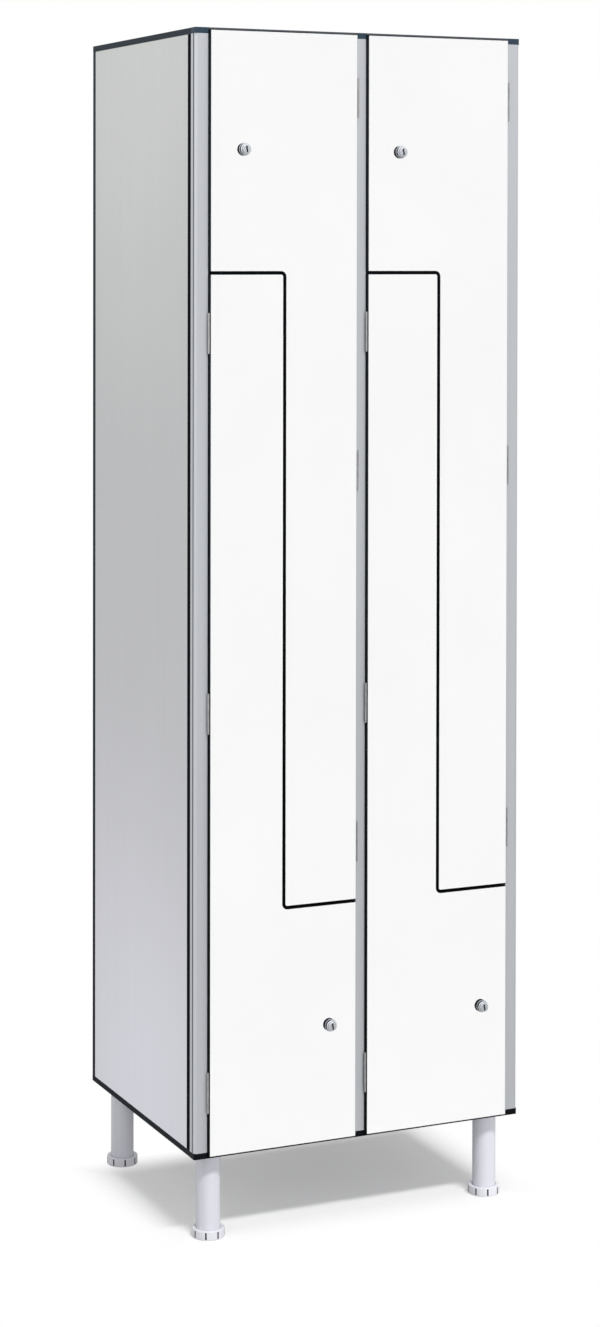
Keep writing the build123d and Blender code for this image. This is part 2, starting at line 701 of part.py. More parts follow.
def leg_mount(x, y):
    """The flange under the bottom panel, with a spigot inside the tube."""
    under = BASE - FLANGE
    outer = LEG_RADIUS - LEG_SHELL - SPIGOT_CLEARANCE
    mount = rod((x, y, under), UP, FLANGE_RADIUS, FLANGE)
    mount += rod((x, y, under), DOWN, outer, SPIGOT_HEIGHT)
    hollow = rod((x, y, under), DOWN, outer - SPIGOT_SHELL, SPIGOT_HEIGHT + OVERRUN)
    return mount - hollow - leg_holes()


def leg_tube(x, y):
    """The plain round tube of a leg."""
    low = FOOT_BASE + FOOT_SEAT_GAP
    length = BASE - FLANGE - low
    tube = rod((x, y, low), UP, LEG_RADIUS, length)
    bore = rod((x, y, low - OVERRUN), UP, LEG_RADIUS - LEG_SHELL, length + 2 * OVERRUN)
    return tube - bore


def leg_socket(x, y):
    """The insert in the tube's lower end that the spindle runs in."""
    low = FOOT_BASE + FOOT_SEAT_GAP
    insert = rod((x, y, low), UP, LEG_RADIUS - LEG_SHELL, SOCKET_HEIGHT)
    bore_length = SOCKET_HEIGHT + 2 * OVERRUN
    return insert - rod((x, y, low - OVERRUN), UP, SPINDLE + SPINDLE_CLEARANCE, bore_length)


def foot(x, y, turn):
    """A notched cup that takes the tube's end, and the spindle fixed in its base."""
    cup = rod((x, y, 0), UP, FOOT_RADIUS, FOOT_HEIGHT)
    cup = fillet(cup.edges().filter_by(GeomType.CIRCLE), FOOT_EDGE)
    well = rod((x, y, FOOT_BASE), UP, LEG_RADIUS + FOOT_CLEARANCE, FOOT_HEIGHT)
    cup -= well
    cup -= rod((x, y, FOOT_BASE / 2), UP, SPINDLE, FOOT_BASE)
    notch_x = (FOOT_RADIUS - NOTCH_DEPTH, FOOT_RADIUS + OVERRUN)
    notch_y = (-NOTCH_WIDTH / 2, NOTCH_WIDTH / 2)
    notch = block(notch_x, notch_y, (NOTCH_FLOOR, FOOT_HEIGHT - NOTCH_FLOOR))
    for number in range(FOOT_NOTCHES):
        cup -= Pos(x, y, 0) * Rot(0, 0, turn + number * 360 / FOOT_NOTCHES) * notch
    spindle = rod((x, y, FOOT_BASE / 2), UP, SPINDLE, SPINDLE_LENGTH)
    return cup, spindle


# Write every sub-part.
all_panel_holes = panel_holes()
all_leg_holes = leg_holes()
hook_holes = [screw_hole(*spot, *SMALL_SCREW) for spot in hook_screw_spots()]

left_doors = [("left", True), ("left", False)]
right_doors = [("right", True), ("right", False)]
side = side_panel()
left_holes = door_side_holes(left_doors)
right_holes = door_side_holes(right_doors)
save("left_side_panel", side - all_panel_holes - left_holes)
save("right_side_panel", side.mirror(Plane.YZ) - all_panel_holes - right_holes)
save("partition", partition() - all_panel_holes - left_holes - right_holes)
save("top_panel", deck(ROOF_OF_BAY) - all_panel_holes)
save("bottom_panel", deck(BASE) - all_panel_holes - all_leg_holes)
save("back_panel", back_panel() - all_panel_holes - hook_holes)
save("left_post", left_post() - left_holes)
save("centre_post", centre_post() - left_holes - right_holes)
save("right_post", left_post().mirror(Plane.YZ) - right_holes)
save("post_caps", *post_caps(True), *post_caps(False))
save("post_seals", *[strip - left_holes - right_holes for strip in seals()])

for column in COLUMNS:
    save(column + "_upper_shelf", half_shelf(column, True))
    save(column + "_divider", divider(column))
    save(column + "_lower_shelf", half_shelf(column, False))

save("coat_hooks", *[coat_hook(x, z) for x, z in hook_places()])
save("panel_screws", *[screw(*spot, *PANEL_SCREW) for spot in panel_screw_spots()])

legs = leg_places()
save("leg_mounts", *[leg_mount(x, y) for x, y in legs.values()])
save("leg_tubes", *[leg_tube(x, y) for x, y in legs.values()])
save("leg_sockets", *[leg_socket(x, y) for x, y in legs.values()])
save("leg_screws", *[screw(*spot, *leg_screw_size()) for spot in leg_screw_spots()])
for name, (x, y) in legs.items():
    save(name + "_foot", *foot(x, y, FOOT_TURNS[name]))

post_leaf_shapes = []
pin_shapes = []
post_screw_shapes = []
keeper_shapes = []
small_screw_shapes = [screw(*spot, *SMALL_SCREW) for spot in hook_screw_spots()]
plain_frame_leaves = frame_leaves()
plain_door_leaves = door_leaves()
plain_pins = hinge_pins()
post_spots, door_spots = hinge_screw_spots()
plain_post_screws = [screw(*spot, *HINGE_SCREW) for spot in post_spots]
plain_door_screws = [screw(*spot, *HINGE_SCREW) for spot in door_spots]
for column, upper in DOOR_PLACES:
    title = column + ("_upper" if upper else "_lower")
    lock_x = LOCK_X[upper]
    cam_solids = lock_cam(lock_x)
    save(title + "_door", in_column(door_panel(upper), column, upper))
    save(title + "_door_hinge_leaves", *[in_column(s, column, upper) for s in plain_door_leaves])
    save(title + "_door_screws", *[in_column(s, column, upper) for s in plain_door_screws])
    save(title + "_lock_housing", in_column(lock_housing(lock_x), column, upper))
    save(title + "_lock_nut", in_column(lock_nut(lock_x), column, upper))
    save(title + "_lock_cylinder", in_column(lock_cylinder(lock_x), column, upper))
    save(title + "_lock_cam", *[in_column(s, column, upper) for s in cam_solids])
    post_leaf_shapes += [in_column(s, column, upper) for s in plain_frame_leaves]
    pin_shapes += [in_column(s, column, upper) for s in plain_pins]
    post_screw_shapes += [in_column(s, column, upper) for s in plain_post_screws]
    keeper_shapes.append(in_column(keeper(column, upper), column, upper))
    for spot in keeper_screw_spots(column, upper):
        small_screw_shapes.append(in_column(screw(*spot, *SMALL_SCREW), column, upper))
save("post_hinge_leaves", *post_leaf_shapes)
save("hinge_pins", *pin_shapes)
save("post_hinge_screws", *post_screw_shapes)
save("lock_keepers", *keeper_shapes)
save("small_screws", *small_screw_shapes)
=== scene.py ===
"""Dresses the z locker: its finishes, its finer pieces, the studio and the camera.

The file is laid out as an add-on. Run as a script, it registers its classes and
calls their operators in order.
"""

import json
import math

import bmesh
import bpy
from bpy.props import FloatProperty, FloatVectorProperty, IntProperty, PointerProperty
from mathutils import Matrix, Vector

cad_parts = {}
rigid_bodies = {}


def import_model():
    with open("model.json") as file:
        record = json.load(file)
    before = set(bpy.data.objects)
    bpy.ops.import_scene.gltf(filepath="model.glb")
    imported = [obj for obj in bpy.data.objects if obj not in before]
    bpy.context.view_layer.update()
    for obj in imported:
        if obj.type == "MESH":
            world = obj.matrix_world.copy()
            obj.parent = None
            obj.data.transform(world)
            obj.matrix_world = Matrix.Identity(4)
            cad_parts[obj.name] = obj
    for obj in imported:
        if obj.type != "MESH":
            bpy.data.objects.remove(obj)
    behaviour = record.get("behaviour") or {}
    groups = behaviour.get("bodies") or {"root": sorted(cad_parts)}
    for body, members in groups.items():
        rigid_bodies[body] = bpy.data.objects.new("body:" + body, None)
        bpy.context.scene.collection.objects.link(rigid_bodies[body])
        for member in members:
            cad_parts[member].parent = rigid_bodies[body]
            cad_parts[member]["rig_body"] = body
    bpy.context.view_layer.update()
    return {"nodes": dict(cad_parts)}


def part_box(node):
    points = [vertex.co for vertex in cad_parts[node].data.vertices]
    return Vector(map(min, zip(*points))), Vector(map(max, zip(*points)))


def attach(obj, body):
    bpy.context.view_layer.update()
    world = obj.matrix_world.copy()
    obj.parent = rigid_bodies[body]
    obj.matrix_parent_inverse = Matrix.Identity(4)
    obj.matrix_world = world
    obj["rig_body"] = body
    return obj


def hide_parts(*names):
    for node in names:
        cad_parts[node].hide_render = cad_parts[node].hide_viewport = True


bl_info = {
    "name": "Z locker",
    "version": (1, 0, 0),
    "blender": (4, 5, 0),
    "location": "View3D > Sidebar > Z locker",
    "description": "Finishes, finer pieces, studio and camera for the z locker",
    "category": "Object",
}

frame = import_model()

# Places read from the frame, in metres.
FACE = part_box("left_post")[0].y
DOOR_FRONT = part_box("left_upper_door")[0].y
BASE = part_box("post_caps")[0].z
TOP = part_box("post_caps")[1].z

# Vertices nearer than this are one vertex, and faces that differ by less are one flat.
MERGE = 0.000002
FLAT = math.radians(0.4)

# Edges that turn by more than this stay sharp.
SHARP = math.radians(38)
TURNED_SHARP = math.radians(32)
NUT_SHARP = math.radians(25)

# Steps across an eased edge.
EASE_STEPS = 2

TITLES = ("left_upper", "left_lower", "right_upper", "right_lower")
FEET = ("front_left_foot", "front_right_foot", "back_left_foot", "back_right_foot")

# Each board, with the axis that its laminated faces look along.
BOARDS = {
    "left_side_panel": 0,
    "right_side_panel": 0,
    "partition": 0,
    "left_divider": 0,
    "right_divider": 0,
    "back_panel": 1,
    "top_panel": 2,
    "bottom_panel": 2,
    "left_upper_shelf": 2,
    "right_upper_shelf": 2,
    "left_lower_shelf": 2,
    "right_lower_shelf": 2,
}


def colour_property(name, description, default):
    """A colour that a user may change."""
    return FloatVectorProperty(
        name=name, description=description, subtype="COLOR", size=3, min=0, max=1, default=default)


def length_property(name, description, default):
    """A length that a user may change, in metres."""
    return FloatProperty(
        name=name, description=description, default=default, min=0, precision=5, unit="LENGTH",
        subtype="DISTANCE")


class ZLockerFinishes(bpy.types.PropertyGroup):
    """Colours of the locker's finishes, and how dark its sides' streaks are."""
    door_white: colour_property("Door face", "Laminate face of the doors", (0.93, 0.93, 0.93))
    door_core: colour_property("Door core", "Cut edge of the doors", (0.002, 0.003, 0.004))
    # Painted sheen: the door cores go over to this paler colour towards the top, standing in for
    # light on them.
    top_sheen_door_core: colour_property("High door core", "Dustier at the top", (0.02, 0.027, 0.034))
    side_grey: colour_property("Side face", "Laminate face of the sides", (0.6, 0.603, 0.612))
    carcass_grey: colour_property("Inner face", "Laminate face inside", (0.62, 0.63, 0.65))
    core: colour_property("Board core", "Cut edge of every board", (0.005, 0.0078, 0.0105))
    # Painted sheen: the board cores go over to this paler colour towards the top, standing in for
    # light on them.
    top_sheen_core: colour_property("High core", "Dustier at the top", (0.03, 0.04, 0.05))
    aluminium: colour_property("Posts", "Anodised aluminium of the posts", (0.59, 0.605, 0.635))
    cap: colour_property("Post caps", "Moulded caps on the posts", (0.003, 0.0032, 0.0055))
    # Painted sheen: the caps go over to this paler, bluer colour towards the top, standing in for
    # light on them.
    top_sheen_cap: colour_property("Top caps", "The caps at the top", (0.042, 0.066, 0.095))
    lintel: colour_property("Lintels", "Trim strips over the doors", (0.09, 0.1, 0.115))
    seal: colour_property("Seals", "Rubber behind the end posts", (0.002, 0.003, 0.0045))
    leg: colour_property("Legs", "Moulded leg tubes and flanges", (0.63, 0.63, 0.69))
    foot: colour_property("Feet", "Moulded adjusting cups", (0.69, 0.69, 0.74))
    # Painted shade: the near black colour painted into the feet's notches and the locks' keyways,
    # where shade falls.
    grime: colour_property("Grime", "What gathers in notches and keyways", (0.006, 0.006, 0.008))
    socket: colour_property("Sockets", "Inserts inside the legs", (0.35, 0.35, 0.37))
    chrome: colour_property("Lock noses", "Plated noses of the locks", (0.66, 0.68, 0.72))
    plug: colour_property("Lock plugs", "Plated plugs that the key turns", (0.58, 0.60, 0.63))
    # Painted reflection: the plated locks' flanks are painted near black for the dark they
    # reflect, and the rim round each bore is painted with it as shade.
    collar: colour_property("Lock collars", "Dark flanks of each lock", (0.008, 0.009, 0.012))
    zinc: colour_property("Zinc", "Plated cams, keepers, hooks and screws", (0.55, 0.56, 0.57))
    stainless: colour_property("Hinges", "Stainless steel of the hinges", (0.56, 0.56, 0.57))
    side_streaks: FloatProperty(
        name="Side streaks", description="Darkness of the sides' streaks", default=0.022, max=1)


class ZLockerDetails(bpy.types.PropertyGroup):
    """Sizes of the details that are finer than the frame's."""
    board_ease: length_property("Board edge", "Round along the boards' edges", 0.0005)
    metal_ease: length_property("Metal edge", "Round along pressed metal edges", 0.0002)
    plastic_ease: length_property("Moulded edge", "Round along moulded edges", 0.0006)
    lock_pitch: length_property("Lock thread pitch", "Rise of a lock's thread in a turn", 0.0015)
    lock_depth: length_property("Lock thread depth", "Depth of a lock's thread", 0.0007)
    lock_nose: length_property("Lock nose", "Radius of a lock's nose", 0.0094)
    lock_body: length_property("Lock body", "Radius of a lock's threaded body", 0.009)
    lock_bore: length_property("Lock bore", "Radius of the bore round a plug", 0.00725)
    lock_bezel: length_property("Lock bezel", "Height of a lock's bezel on the door", 0.008)
    nose_round: length_property("Nose round", "Round of a nose's front edge", 0.0015)
    spindle_pitch: length_property("Spindle pitch", "Rise of a spindle's thread in a turn", 0.002)
    spindle_depth: length_property("Spindle depth", "Depth of a spindle's thread", 0.0009)
    groove_middle: length_property("Groove place", "From a post's face to its groove", 0.0075)
    groove_half: length_property("Groove half", "Half the width of a post's groove", 0.00155)
    groove_depth: length_property("Groove depth", "Depth of a post's groove", 0.0012)
    sill: length_property("Sill", "Height of the trim strips under the doors", 0.0011)
    lintel: length_property("Lintel", "Height of the trim strips over the doors", 0.003)
    spindle: length_property("Spindle", "Radius of a foot's spindle", 0.006)
    notch_depth: length_property("Notch depth", "Depth of a foot's notches", 0.0025)
    notch_end: length_property("Notch end", "From a foot's ends to its notches", 0.0018)
    turned_steps: IntProperty(
        name="Turned steps", description="Flats round a turned piece", default=64, min=12)
    thread_steps: IntProperty(
        name="Thread steps", description="Flats in a turn of a thread", default=28, min=8)


class ZLockerStage(bpy.types.PropertyGroup):
    """The camera, the lamps and the floor."""
    camera_across: length_property("Camera left", "How far left the camera stands", 2.0018)
    camera_away: length_property("Camera away", "How far the camera is from the posts", 4.1549)
    camera_height: length_property("Camera height", "Height of the camera", 1.6266)
    camera_turn: FloatProperty(
        name="Turn", description="Turn to the right", subtype="ANGLE",
        default=math.radians(24.453))
    camera_tilt: FloatProperty(
        name="Tilt", description="Tilt upwards", subtype="ANGLE", default=math.radians(-0.832))
    camera_roll: FloatProperty(
        name="Roll", description="Roll of the camera", subtype="ANGLE",
        default=math.radians(0.096))
    lens: FloatProperty(name="Lens", description="Focal length", unit="CAMERA", default=74.86)
    shift: FloatProperty(name="Shift", description="Vertical shift of the lens", default=-0.28)
    key: FloatProperty(name="Key", description="Light of the front lamps together", default=2.13)
    key_height: FloatProperty(
        name="Key height", description="Height of the front lamps", subtype="ANGLE",
        default=math.radians(54))
    fill: FloatProperty(name="Fill", description="Light of the left lamp", default=0.6)
    low: FloatProperty(name="Low lamp", description="Watts low on the left", default=2.1)
    low_colour: colour_property("Low colour", "Colour of the low lamp", (0.81, 0.80, 1.0))
    high: FloatProperty(name="High lamp", description="Watts high on the left", default=1.0)
    high_colour: colour_property("High colour", "Colour of the high lamp", (0.94, 1.0, 0.87))
    side_lamp_away: length_property("Side lamps away", "From the side to these lamps", 0.6)
    legs: FloatProperty(name="Leg lamp", description="Watts of the lamp for the legs", default=15)
    near_lamp_size: length_property("Near lamps' size", "Width of each near lamp", 0.5)
    dome: FloatProperty(name="Dome", description="Light from all round", default=0.484)
    floor: FloatProperty(name="Floor", description="Paleness of the floor", default=0.6, max=1)
    floor_size: length_property("Floor size", "Half the floor's width", 40)
    floor_seen: FloatProperty(
        name="Floor as seen", description="How far the floor shows the shadow", default=0.7)
    floor_lift: FloatProperty(
        name="Floor lift", description="Light added to the floor in full shade", default=0.23)
    halo_side: length_property("Halo side", "From the middle to the shadow's fading", 0.27)
    halo_front: length_property("Halo front", "From the middle to its fading in front", 0.16)
    halo_back: length_property("Halo back", "From the middle to its fading behind", 0.14)
    halo_fade: length_property("Halo fade", "How far it takes to fade into white", 0.1)


class Finish:
    """A new material, with short calls that add nodes and link them."""

    def __init__(self, name):
        self.material = bpy.data.materials.new(name)
        self.material.use_nodes = True
        self.tree = self.material.node_tree
        self.shader = self.tree.nodes["Principled BSDF"]
        self.place = self.tree.nodes.new("ShaderNodeTexCoord")

    def feed(self, socket, value):
        """Sets a socket to a value, or links it to another node's output."""
        if isinstance(value, bpy.types.NodeSocket):
            self.tree.links.new(value, socket)
        elif socket.type == "RGBA":
            socket.default_value = (*value, 1)
        else:
            socket.default_value = value

    def set(self, **values):
        """Feeds the shader's sockets, named with low lines for spaces."""
        for name, value in values.items():
            self.feed(self.shader.inputs[name.replace("_", " ")], value)

    def stretched(self, scales):
        """The object's coordinates, stretched."""
        mapping = self.tree.nodes.new("ShaderNodeMapping")
        self.feed(mapping.inputs["Vector"], self.place.outputs["Object"])
        mapping.inputs["Scale"].default_value = scales
        return mapping.outputs["Vector"]

    def noise(self, scales, detail=3):
        """Noise with so many waves to a metre along each axis."""
        texture = self.tree.nodes.new("ShaderNodeTexNoise")
        self.feed(texture.inputs["Vector"], self.stretched(scales))
        self.feed(texture.inputs["Scale"], 1)
        self.feed(texture.inputs["Detail"], detail)
        self.feed(texture.inputs["Roughness"], 0.55)
        return texture.outputs["Fac"]

    def crystals(self, scale):
        """A random value for each crystal of a plated surface."""
        texture = self.tree.nodes.new("ShaderNodeTexVoronoi")
        self.feed(texture.inputs["Vector"], self.stretched((scale, scale, scale)))
        self.feed(texture.inputs["Scale"], 1)
        return self.split(texture.outputs["Color"])[0]

    def split(self, vector):
        """The three parts of a vector."""
        parts = self.tree.nodes.new("ShaderNodeSeparateXYZ")
        self.feed(parts.inputs[0], vector)
        return parts.outputs

    def height(self):
        """None at the carcass's base and all of it at its top."""
        return self.levels(self.split(self.place.outputs["Object"])[2], 0, 1, BASE, TOP)

    def sum(self, operation, first, second=0.0):
        """One arithmetic step."""
        node = self.tree.nodes.new("ShaderNodeMath")
        node.operation = operation
        self.feed(node.inputs[0], first)
        self.feed(node.inputs[1], second)
        return node.outputs[0]

    def levels(self, value, low, high, least=0.3, most=0.7):
        """Spreads a value's middle range between two levels."""
        node = self.tree.nodes.new("ShaderNodeMapRange")
        self.feed(node.inputs["Value"], value)
        self.feed(node.inputs["From Min"], least)
        self.feed(node.inputs["From Max"], most)
        self.feed(node.inputs["To Min"], low)
        self.feed(node.inputs["To Max"], high)
        return node.outputs["Result"]

    def blend(self, factor, first, second):
        """One colour going over to another."""
        node = self.tree.nodes.new("ShaderNodeMix")
        node.data_type = "RGBA"
        self.feed(node.inputs[0], factor)
        self.feed(node.inputs[6], first)
        self.feed(node.inputs[7], second)
        return node.outputs[2]

    def shades(self, value, colour, dark, light):
        """A colour between a darker and a lighter shade of itself."""
        darker = [part * dark for part in colour]
        lighter = [min(part * light, 1) for part in colour]
        return self.blend(self.levels(value, 0, 1), darker, lighter)

    def relief(self, height, depth):
        """Fine relief of a depth in metres, over the relief made before."""
        bump = self.tree.nodes.new("ShaderNodeBump")
        bump.inputs["Distance"].default_value = depth
        self.feed(bump.inputs["Height"], height)
        for link in self.shader.inputs["Normal"].links:
            self.feed(bump.inputs["Normal"], link.from_socket)
        self.feed(self.shader.inputs["Normal"], bump.outputs["Normal"])


def laminate(name, face, core, top_sheen_core, axis, streaks=0.0):
    """Compact laminate: a suede face, and a layered black core on the cut edges, painted paler and
    bluer towards the top as a sheen.
    """
    finish = Finish(name)
    normal = finish.split(finish.place.outputs["Normal"])[axis]
    squarely = 0.9
    on_face = finish.sum("GREATER_THAN", finish.sum("ABSOLUTE", normal), squarely)
    cloud = finish.noise((3, 3, 3))
    suede = finish.noise((520, 520, 520), detail=4)
    layer_waves = [14, 14, 14]
    layer_waves[axis] = 2400
    layers = finish.noise(layer_waves)
    face_colour = finish.shades(cloud, face, 0.985, 1.01)
    face_colour = finish.blend(finish.levels(suede, 0, 0.02), face_colour, (0, 0, 0))
    if streaks:
        streak = finish.noise((60, 60, 1.4), detail=5)
        face_colour = finish.blend(finish.levels(streak, 0, streaks), face_colour, (0, 0, 0))
    core_colour = finish.shades(layers, core, 0.6, 1.9)
    # Painted sheen: the core goes paler and bluer towards the carcass's top.
    high_colour = finish.shades(layers, top_sheen_core, 0.8, 1.4)
    core_colour = finish.blend(finish.height(), core_colour, high_colour)
    finish.set(Base_Color=finish.blend(on_face, core_colour, face_colour))
    finish.set(Specular_IOR_Level=0.18)
    face_smoother = 0.37
    smoother = finish.sum("MULTIPLY", on_face, -face_smoother)
    finish.set(Roughness=finish.sum("ADD", finish.levels(suede, 0.77, 0.85), smoother))
    suede_depth = 0.000012
    layer_depth = 0.00004
    finish.relief(finish.sum("MULTIPLY", suede, on_face), suede_depth)
    off_face = finish.sum("SUBTRACT", 1, on_face)
    finish.relief(finish.sum("MULTIPLY", layers, off_face), layer_depth)
    return finish.material


def anodised(name, colour, details):
    """Satin anodised aluminium, drawn along its length, with painted shade in its grooves."""
    finish = Finish(name)
    drawn = finish.noise((900, 900, 1.1), detail=5)
    cloud = finish.noise((9, 9, 2))
    tone = finish.shades(drawn, colour, 0.96, 1.03)
    tone = finish.blend(finish.levels(cloud, 0, 0.04), tone, (0, 0, 0))
    # Painted shade: the groove's floor and walls are painted near black, where shade falls in the
    # groove.
    x, y, _ = finish.split(finish.place.outputs["Object"])
    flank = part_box("right_post")[1].x
    off_middle = finish.sum("SUBTRACT", y, FACE + details.groove_middle)
    between = finish.sum("LESS_THAN", finish.sum("ABSOLUTE", off_middle), details.groove_half)
    past_groove = 1.2
    floor = flank - details.groove_depth * past_groove
    outside = finish.sum("GREATER_THAN", finish.sum("ABSOLUTE", x), floor)
    groove_shade_cover = 0.97
    grime = finish.sum("MULTIPLY", finish.sum("MULTIPLY", between, outside), groove_shade_cover)
    groove_shade_colour = (0.01, 0.01, 0.012)
    finish.set(Base_Color=finish.blend(grime, tone, groove_shade_colour))
    finish.set(Metallic=1.0, Roughness=finish.levels(drawn, 0.5, 0.6))
    finish.relief(drawn, 0.000006)
    return finish.material


def moulded(name, colour, rough, grain, mirror=0.5, clouds=(26, 26, 12), high=None):
    """Moulded plastic with the tool's fine grain and faint flow clouds.

    The grain is a depth in metres, and the high colour is the one at the carcass's top, a painted
    sheen that the tone goes over to with height.
    """
    finish = Finish(name)
    cloud = finish.noise(clouds)
    spark = finish.noise((1500, 1500, 1500), detail=2)
    tone = finish.shades(cloud, colour, 0.97, 1.02)
    # Painted sheen: the tone goes paler towards the carcass's top.
    if high is not None:
        tone = finish.blend(finish.height(), tone, high)
    finish.set(Base_Color=tone, Specular_IOR_Level=mirror)
    patchy = 0.04
    finish.set(Roughness=finish.levels(cloud, rough - patchy, rough + patchy))
    finish.relief(spark, grain)
    return finish.material


def ribbed_rubber(name, colour):
    """Matt rubber extruded with fine ribs along its length."""
    finish = Finish(name)
    waves = finish.tree.nodes.new("ShaderNodeTexWave")
    waves.bands_direction = "Y"
    finish.feed(waves.inputs["Vector"], finish.place.outputs["Object"])
    ribs = 140
    rib_depth = 0.00025
    finish.feed(waves.inputs["Scale"], ribs)
    dust = finish.noise((160, 160, 30), detail=4)
    finish.set(Base_Color=finish.shades(dust, colour, 0.8, 1.6), Specular_IOR_Level=0.02)
    finish.set(Roughness=finish.levels(dust, 0.62, 0.8))
    finish.relief(waves.outputs["Fac"], rib_depth)
    return finish.material


def plated(name, colour, rough):
    """Bright plating with faint handling marks."""
    finish = Finish(name)
    smear = finish.noise((90, 90, 140), detail=4)
    finish.set(Base_Color=finish.shades(smear, colour, 0.93, 1.04), Metallic=1.0)
    finish.set(Roughness=finish.levels(smear, rough, rough + 0.12))
    finish.relief(smear, 0.000015)
    return finish.material


def zinc_plated(name, colour):
    """Zinc plate, whose crystals differ a little in tone and gloss."""
    finish = Finish(name)
    crystal = finish.crystals(380)
    haze = finish.noise((60, 60, 60), detail=4)
    tone = finish.shades(crystal, colour, 0.92, 1.06)
    tarnish = (0.2, 0.19, 0.16)
    finish.set(Base_Color=finish.blend(finish.levels(haze, 0, 0.1), tone, tarnish))
    finish.set(Metallic=1.0, Roughness=finish.levels(crystal, 0.28, 0.42, 0, 1))
    finish.relief(haze, 0.00001)
    return finish.material


def brushed(name, colour):
    """Stainless steel brushed along its height."""
    finish = Finish(name)
    lines = finish.noise((1900, 1900, 24), detail=4)
    patches = finish.noise((500, 500, 90), detail=4)
    tone = finish.shades(lines, colour, 0.88, 1.05)
    smudge = (0.1, 0.1, 0.1)
    finish.set(Base_Color=finish.blend(finish.levels(patches, 0, 0.5), tone, smudge))
    finish.set(Metallic=1.0, Roughness=finish.levels(lines, 0.3, 0.42))
    finish.relief(lines, 0.000008)
    return finish.material


def node_object(node):
    """The frame's own object of a node."""
    return frame["nodes"][node]


def slot_of(node):
    """The record's material slot that a node was packed with."""
    return node_object(node).material_slots[0].material.name.split(".")[0]


def dress(node, material):
    """Gives a node of the frame, whose shape stays, its finish."""
    for material_slot in node_object(node).material_slots:
        material_slot.material = material


def joined_copy(node, leave_out=None):
    """A node's triangles merged into one surface, less some, with its flats joined."""
    made = bmesh.new()
    made.from_mesh(node_object(node).data)
    if leave_out:
        unwanted = [face for face in made.faces if all(map(leave_out, face.verts))]
        bmesh.ops.delete(made, geom=unwanted, context="FACES")
    bmesh.ops.remove_doubles(made, verts=made.verts, dist=MERGE)
    open_edges = [edge for edge in made.edges if edge.is_boundary]
    if open_edges:
        bmesh.ops.holes_fill(made, edges=open_edges)
    bmesh.ops.dissolve_limit(made, angle_limit=FLAT, verts=made.verts, edges=made.edges)
    bmesh.ops.recalc_face_normals(made, faces=made.faces)
    return made


def add_piece(name, made, materials, node, smooth_angle=None, replaces=True):
    """Makes a finished mesh a piece that rides with a node, and may stand for it."""
    if smooth_angle is not None:
        for face in made.faces:
            face.smooth = True
        for edge in made.edges:
            edge.smooth = edge.calc_face_angle(math.pi) < smooth_angle
    mesh = bpy.data.meshes.new(name)
    made.to_mesh(mesh)
    made.free()
    for material in materials:
        mesh.materials.append(material)
    piece = bpy.data.objects.new(name, mesh)
    bpy.context.scene.collection.objects.link(piece)
    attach(piece, node_object(node)["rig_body"])
    if replaces:
        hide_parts(node)
    slot_of(node)
    return piece


def ease_by_angle(piece, width):
    """Rounds a piece's sharp edges and keeps its flats flat."""
    bevel = piece.modifiers.new("Eased edges", "BEVEL")
    bevel.width = width
    bevel.segments = EASE_STEPS
    bevel.limit_method = "ANGLE"
    bevel.angle_limit = SHARP
    bevel.harden_normals = True


def eased_board(node, material, width):
    """A board whose long edges are eased as a sander leaves them."""
    made = joined_copy(node)
    shortest = 0.02
    steep = math.radians(60)
    outline = [edge for edge in made.edges
               if edge.calc_length() > shortest and edge.calc_face_angle(0) > steep]
    bmesh.ops.bevel(
        made, geom=outline, offset=width, affect="EDGES", segments=EASE_STEPS, profile=0.5,
        material=-1, clamp_overlap=True)
    return add_piece(node + "_board", made, [material], node)


def refined(node, material, width, suffix):
    """A copy of a node with its sharp edges rounded."""
    piece = add_piece(node + suffix, joined_copy(node), [material], node, SHARP)
    ease_by_angle(piece, width)
    return piece


def turned(profile, steps):
    """A ring turned about the Z axis from a closed profile of radius and height."""
    made = bmesh.new()
    points = [made.verts.new((radius, 0, height)) for radius, height in profile]
    lines = [made.edges.new(pair) for pair in zip(points, points[1:] + points[:1])]
    bmesh.ops.spin(
        made, geom=points + lines, cent=(0, 0, 0), axis=(0, 0, 1), dvec=(0, 0, 0),
        angle=math.tau, steps=steps, use_merge=True, use_duplicate=False)
    bmesh.ops.remove_doubles(made, verts=made.verts, dist=MERGE)
    bmesh.ops.recalc_face_normals(made, faces=made.faces)
    return made


def add_thread(made, root, crest, low, high, pitch, steps):
    """Winds a ridge round a turned piece's Z axis, between two heights."""
    before = set(made.faces)
    flank_share = 0.45
    buried_share = 0.25
    half = pitch * flank_share
    turns = (high - low - 2 * half) / pitch
    buried = root - (crest - root) * buried_share
    corners = ((buried, low), (crest, low + half), (buried, low + 2 * half))
    points = [made.verts.new((radius, 0, height)) for radius, height in corners]
    start = made.faces.new(points)
    count = int(turns * steps)
    bmesh.ops.spin(
        made, geom=[start], cent=(0, 0, 0), axis=(0, 0, 1), dvec=(0, 0, pitch / steps),
        angle=math.tau * count / steps, steps=count, use_merge=False, use_duplicate=False)
    wound = [face for face in made.faces if face not in before]
    bmesh.ops.recalc_face_normals(made, faces=wound)


def rounded_corner(corner, radius, start, stop, count=4):
    """Points of a quarter round in a profile, about a centre, from angle to angle."""
    places = []
    for number in range(count + 1):
        angle = math.radians(start + (stop - start) * number / count)
        places.append((corner[0] + radius * math.cos(angle), corner[1] + radius * math.sin(angle)))
    return places


